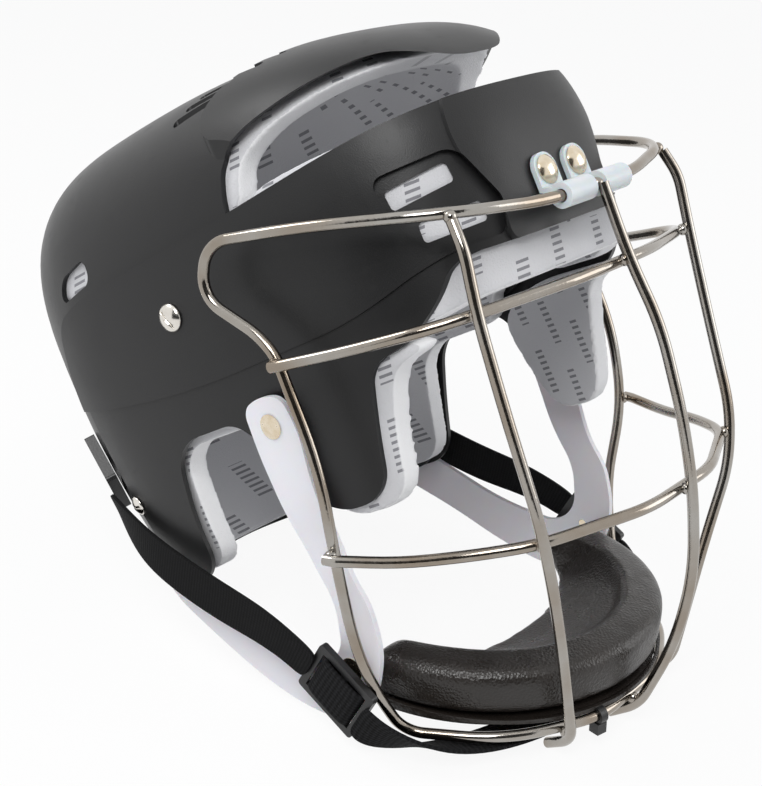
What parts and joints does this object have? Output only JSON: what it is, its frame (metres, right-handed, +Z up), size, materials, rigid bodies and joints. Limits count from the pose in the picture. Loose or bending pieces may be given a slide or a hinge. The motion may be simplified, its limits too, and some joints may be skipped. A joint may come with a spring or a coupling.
{
  "type": "hurling helmet",
  "caption": "Two-part hurling helmet with padded liner, crown window, hinged wire face guard, chin cup, white side harness and elastic chin straps.",
  "frame": {"origin": "middle of the footprint, on the surface it stands on, tipped back on the nape rim and the guard's three bottom tails", "axes": "-Y towards the wearer's nose, +X towards the wearer's left, +Z up; the wearer's up axis is tipped 32.1 degrees back from +Z"},
  "size_m": [0.2232, 0.3422, 0.2718],
  "materials": {
    "shell_black": "fine satin moulded shell",
    "liner_white": "brushed knit over foam",
    "screw_steel": "bright plated",
    "guard_wire": "nickel plated",
    "clip_white": "translucent",
    "rivet_brass": "polished",
    "harness_white": "smooth",
    "buckle_black": "smooth",
    "strap_black": "woven",
    "cup_leather": "soft sheen"
  },
  "bodies": {
    "shell": {"front_shell": "shell_black", "brow_pad": "liner_white", "cheek_pad_left": "liner_white", "cheek_pad_right": "liner_white", "size_screws_upper": "screw_steel", "size_screws_lower": "screw_steel", "size_nuts": "screw_steel", "forehead_clip": "clip_white", "clip_rivets": "rivet_brass", "harness_plate_left": "harness_white", "harness_plate_right": "harness_white", "harness_rivets": "rivet_brass", "strap_adjuster_left": "buckle_black", "strap_adjuster_right": "buckle_black", "webbing_loop_left": "strap_black", "webbing_loop_right": "strap_black", "elastic_strap_left": "strap_black", "elastic_strap_right": "strap_black"},
    "rear": {"rear_shell": "shell_black", "side_pad_left": "liner_white", "side_pad_right": "liner_white", "nape_pad": "liner_white", "crown_pad": "liner_white", "strap_buckle_left": "buckle_black", "strap_buckle_right": "buckle_black"},
    "guard": {"guard_rim": "guard_wire", "guard_upper_bar": "guard_wire", "guard_lower_bar": "guard_wire", "guard_centre_upright": "guard_wire", "guard_side_uprights": "guard_wire", "chin_cup_pad": "cup_leather", "chin_cup_base": "cup_leather", "chin_webbing": "strap_black", "cable_tie": "buckle_black"}
  },
  "joints": [
    {"name": "size_slide", "type": "slide", "parent": "shell", "child": "rear", "axis": [0, 0.8471, -0.5314], "range_m": [0, 0.008], "deforming": ["elastic_strap_left", "elastic_strap_right"]},
    {"name": "guard_hinge", "type": "hinge", "parent": "shell", "child": "guard", "pos_m": [0, -0.10457, 0.22548], "axis": [-1, 0, 0], "range_deg": [0, 50]}
  ]
}
